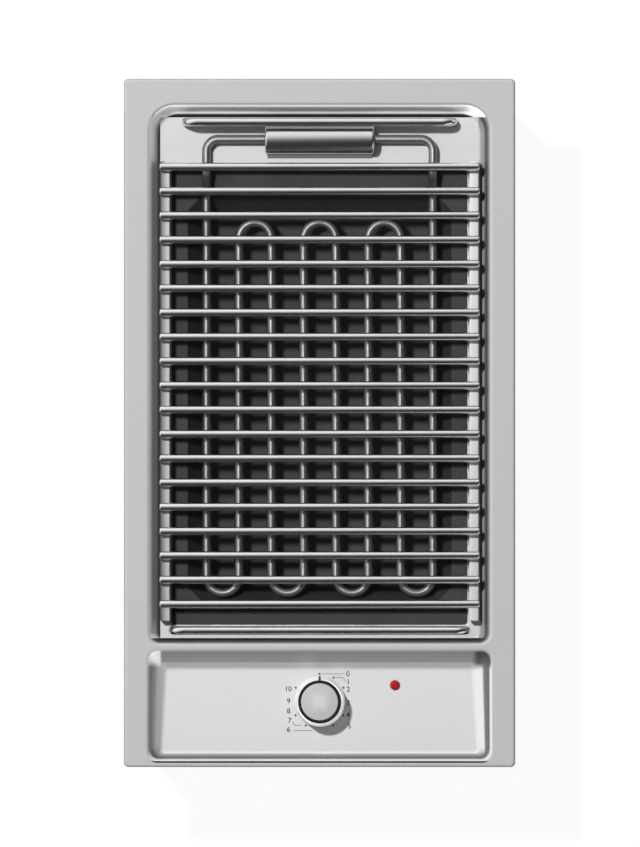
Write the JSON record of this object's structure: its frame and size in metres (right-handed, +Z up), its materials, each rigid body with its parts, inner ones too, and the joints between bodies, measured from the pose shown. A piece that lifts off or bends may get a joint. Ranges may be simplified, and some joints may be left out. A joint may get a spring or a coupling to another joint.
{
  "type": "built-in electric barbecue hob",
  "caption": "Narrow built-in barbecue hob: pressed steel top with a bar grid over a tip-up heating element and a drip tray, with a dial in a front recess.",
  "frame": {"origin": "centre of the plate's outline, on the underside of the casing", "axes": "+Z up, +Y to the rear of the hob, +X to the right of a user who stands in front of it"},
  "size_m": [0.29, 0.51, 0.1122],
  "materials": {
    "plate_steel": "satin stainless steel sheet, drawn and polished",
    "casing_steel": "galvanised steel sheet",
    "seal_foam": "black cellular rubber",
    "screw_steel": "zinc plated steel",
    "rod_steel": "bright drawn stainless steel",
    "cover_steel": "polished stainless steel sheet",
    "bush_brass": "turned brass",
    "grommet_rubber": "black moulded rubber",
    "regulator_plastic": "black heat-resistant moulding",
    "terminal_brass": "plain brass",
    "shaft_steel": "turned steel",
    "knob_plastic": "black moulding",
    "knob_metal": "turned and plated metal",
    "knob_cap_metal": "spun satin aluminium",
    "lens_red": "red translucent moulding",
    "block_plastic": "off-white heat-resistant moulding",
    "element_sheath": "oxidised steel sheath",
    "ceramic_white": "unglazed white ceramic",
    "tray_enamel": "dark grey enamelled steel sheet"
  },
  "bodies": {
    "hob": {"top_plate": "plate_steel", "worktop_seal": "seal_foam", "casing_left": "casing_steel", "casing_right": "casing_steel", "casing_front": "casing_steel", "casing_rear": "casing_steel", "base_cover": "casing_steel", "left_hanger": "casing_steel", "right_hanger": "casing_steel", "casing_screws": "screw_steel", "worktop_clamps": "casing_steel", "well_tub": "casing_steel", "heat_shield": "casing_steel", "rear_stop_rod": "rod_steel", "front_stop_rod": "rod_steel", "element_cover": "cover_steel", "element_cradle": "casing_steel", "pivot_bushes": "bush_brass", "cover_screws": "screw_steel", "lead_grommet": "grommet_rubber", "energy_regulator": "regulator_plastic", "regulator_terminals": "terminal_brass", "regulator_screws": "screw_steel", "lamp_lens": "lens_red", "lamp_body": "regulator_plastic", "lamp_clip": "screw_steel", "terminal_block": "block_plastic", "terminal_screws": "terminal_brass", "cable_grommet": "grommet_rubber"},
    "grid": {"grid_rail_left": "rod_steel", "grid_rail_right": "rod_steel", "grid_bar_01": "rod_steel", "grid_bar_02": "rod_steel", "grid_bar_03": "rod_steel", "grid_bar_04": "rod_steel", "grid_bar_05": "rod_steel", "grid_bar_06": "rod_steel", "grid_bar_07": "rod_steel", "grid_bar_08": "rod_steel", "grid_bar_09": "rod_steel", "grid_bar_10": "rod_steel", "grid_bar_11": "rod_steel", "grid_bar_12": "rod_steel", "grid_bar_13": "rod_steel", "grid_bar_14": "rod_steel", "grid_bar_15": "rod_steel", "grid_bar_16": "rod_steel", "grid_bar_17": "rod_steel", "grid_bar_18": "rod_steel", "grid_bar_19": "rod_steel"},
    "element": {"heating_element": "element_sheath", "element_insulators": "ceramic_white", "element_pins": "screw_steel"},
    "tray": {"drip_tray": "tray_enamel"},
    "knob": {"knob_body": "knob_plastic", "knob_skirt": "knob_metal", "knob_cap": "knob_cap_metal", "knob_clip": "screw_steel", "regulator_shaft": "shaft_steel"}
  },
  "joints": [
    {"name": "knob_turn", "type": "hinge", "parent": "hob", "child": "knob", "pos_m": [0, -0.2066, 0.0952], "axis": [0, 0, -1], "range_deg": [0, 300]},
    {"name": "grid_lift", "type": "slide", "parent": "hob", "child": "grid", "axis": [0, 0, 1], "range_m": [0, 0.45]},
    {"name": "element_tilt", "type": "hinge", "parent": "hob", "child": "element", "pos_m": [0, 0.2105, 0.0975], "axis": [-1, 0, 0], "range_deg": [0, 75]},
    {"name": "tray_lift", "type": "slide", "parent": "hob", "child": "tray", "axis": [0, 0, 1], "range_m": [0, 0.05]}
  ],
  "couplings": [
    {"joint": "element_tilt", "follows": "grid_lift", "rad_per_m": 2.9},
    {"joint": "tray_lift", "follows": "grid_lift", "ratio": 0.11}
  ]
}
